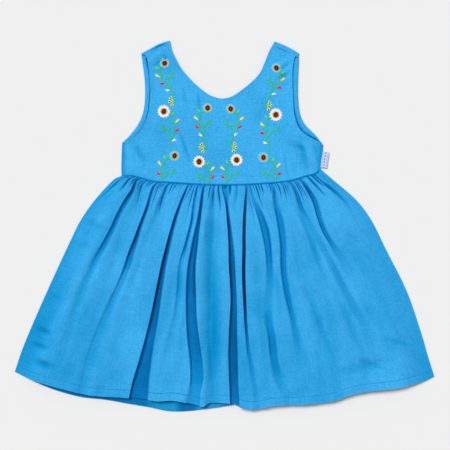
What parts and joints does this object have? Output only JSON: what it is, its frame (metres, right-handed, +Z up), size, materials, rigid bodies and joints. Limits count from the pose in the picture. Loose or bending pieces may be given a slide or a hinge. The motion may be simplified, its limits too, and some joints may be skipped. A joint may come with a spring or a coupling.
{
  "type": "child's sleeveless sundress",
  "caption": "Sleeveless child's sundress laid flat, with a scoop neck, wide straps, a fitted bodice and a gathered flared skirt.",
  "frame": {"origin": "middle of the bounding box in X and Y, at the surface the dress lies on", "axes": "+X to the right of the dress as it is seen from above, +Y from hem to neck, +Z up from the surface, the front of the dress facing +Z"},
  "size_m": [0.5448, 0.4818, 0.0097],
  "materials": {
    "front_cloth": "plain woven sky blue cotton",
    "back_cloth": "plain woven sky blue cotton",
    "label_tape": "pale woven tape"
  },
  "bodies": {
    "root": {"bodice_front": "front_cloth", "bodice_back": "back_cloth", "skirt_front": "front_cloth", "skirt_back": "back_cloth", "armhole_binding_left": "back_cloth", "armhole_binding_right": "back_cloth", "side_label": "label_tape"}
  },
  "joints": []
}
